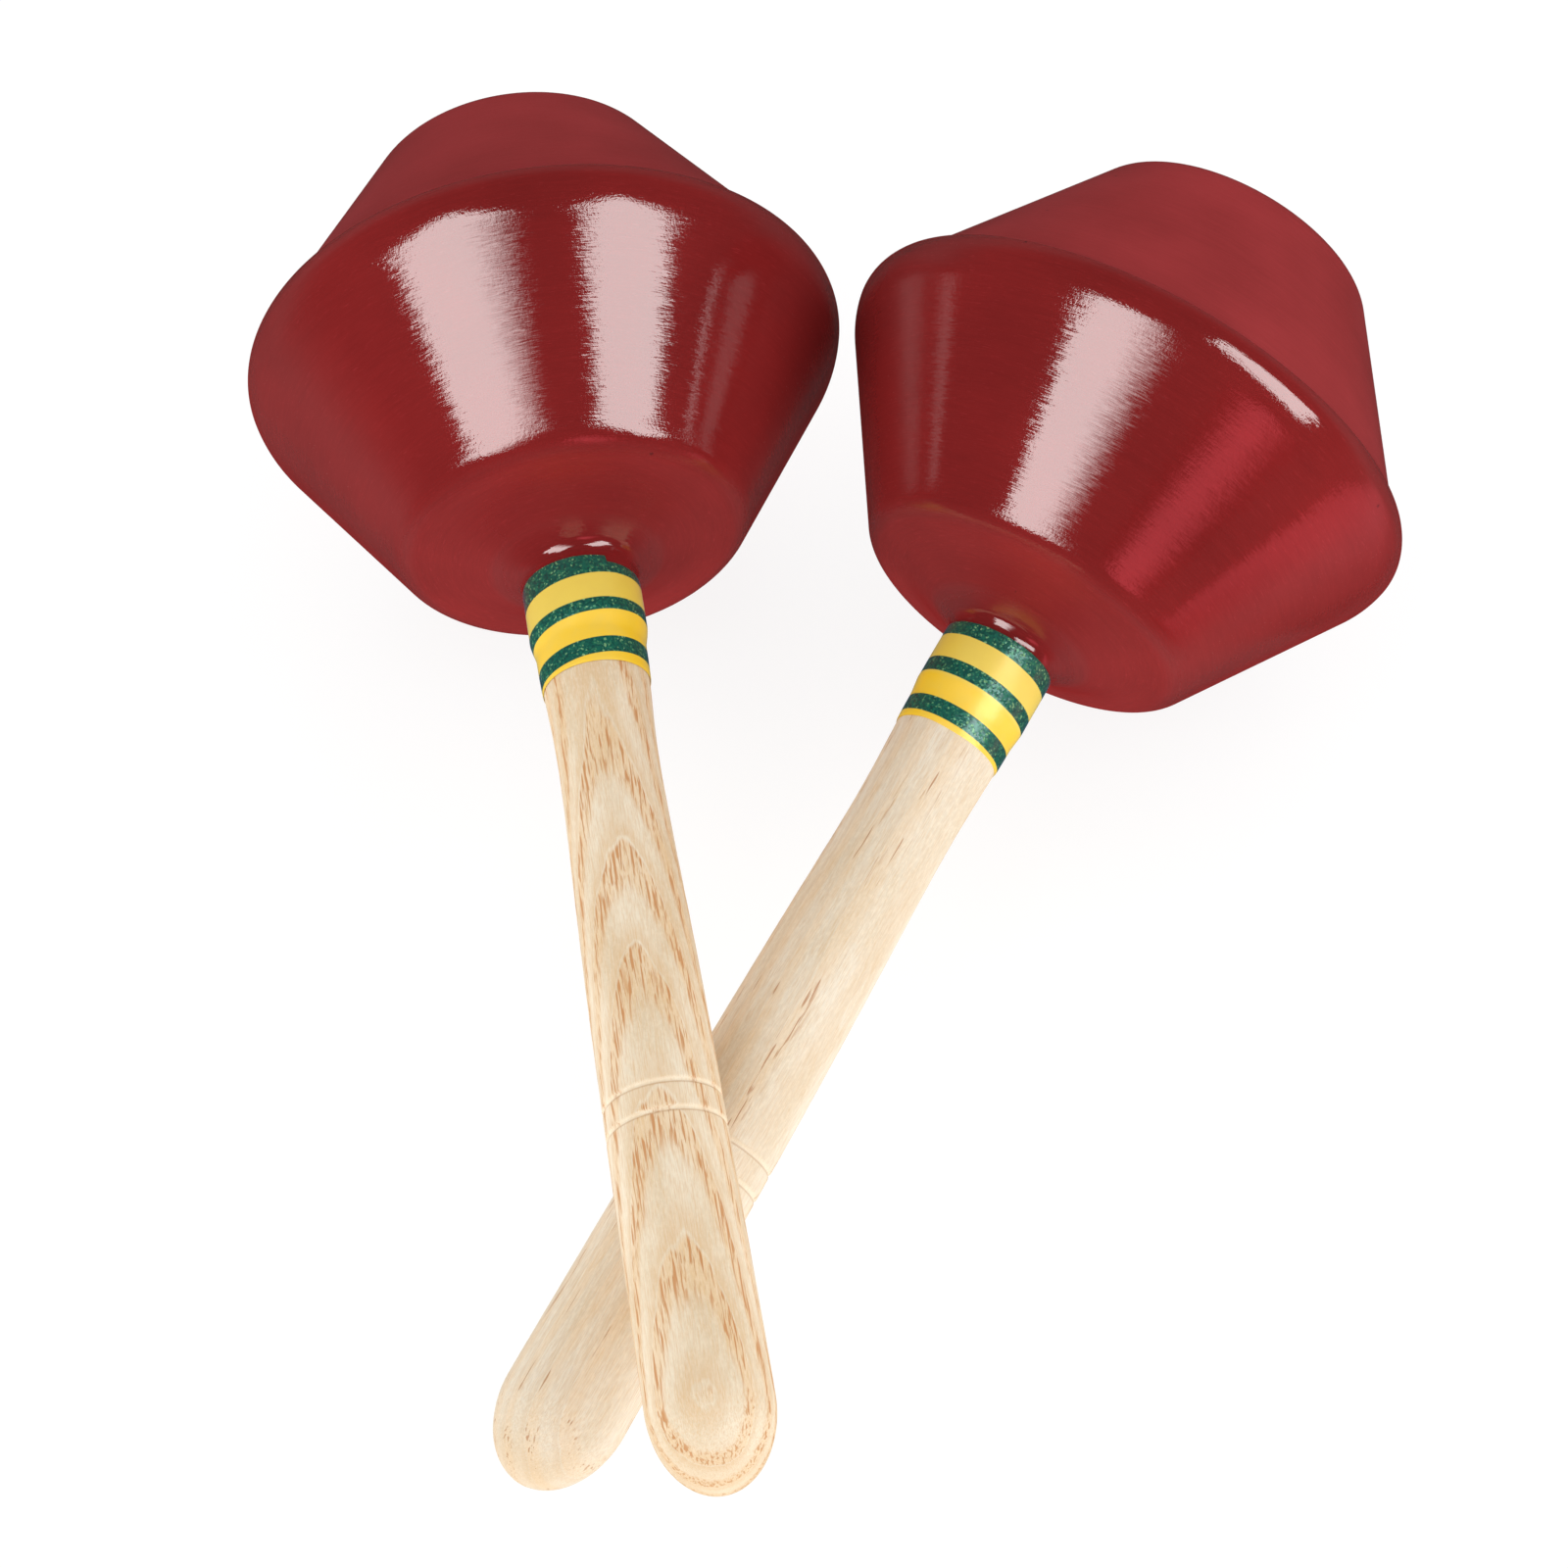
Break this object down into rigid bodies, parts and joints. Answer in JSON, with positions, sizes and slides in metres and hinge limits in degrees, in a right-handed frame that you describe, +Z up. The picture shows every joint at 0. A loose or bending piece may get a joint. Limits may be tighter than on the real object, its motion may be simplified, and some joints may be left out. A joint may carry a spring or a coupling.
{
  "type": "pair of maracas",
  "caption": "Pair of hand shakers with two-part lacquered metal heads, striped neck tape and turned wooden handles, one handle laid across the other.",
  "frame": {"origin": "centre of the pair's bounding box, on the surface it rests on", "axes": "+Z up, +Y from the handle butts towards the heads, +X to the right when looking along +Y"},
  "size_m": [0.1862, 0.24, 0.0978],
  "materials": {
    "red_lacquer": "glossy red lacquer over spun sheet metal",
    "red_lacquer_crown": "satin red lacquer over spun sheet metal",
    "pale_wood": "bare sanded pale wood, fine open grain",
    "striped_tape": "gloss tape, green glitter and yellow stripes",
    "steel": "plain bright steel"
  },
  "bodies": {
    "right_maraca": {"right_base_cup": "red_lacquer", "right_crown_cup": "red_lacquer_crown", "right_handle": "pale_wood", "right_stripe_tape": "striped_tape", "right_neck_brads": "steel"},
    "left_maraca": {"left_base_cup": "red_lacquer", "left_crown_cup": "red_lacquer_crown", "left_handle": "pale_wood", "left_stripe_tape": "striped_tape", "left_neck_brads": "steel"},
    "right_shot": {"right_shot": "steel"},
    "left_shot": {"left_shot": "steel"}
  },
  "joints": [
    {"name": "left_lift", "type": "slide", "parent": "right_maraca", "child": "left_maraca", "axis": [0, 0, 1], "range_m": [0, 0.08]},
    {"name": "left_shot_throw", "type": "slide", "parent": "left_maraca", "child": "left_shot", "axis": [0.0111, -0.0852, 0.9963], "range_m": [0, 0.074]},
    {"name": "right_shot_throw", "type": "slide", "parent": "right_maraca", "child": "right_shot", "axis": [-0.1078, -0.1779, 0.9781], "range_m": [0, 0.074]}
  ]
}
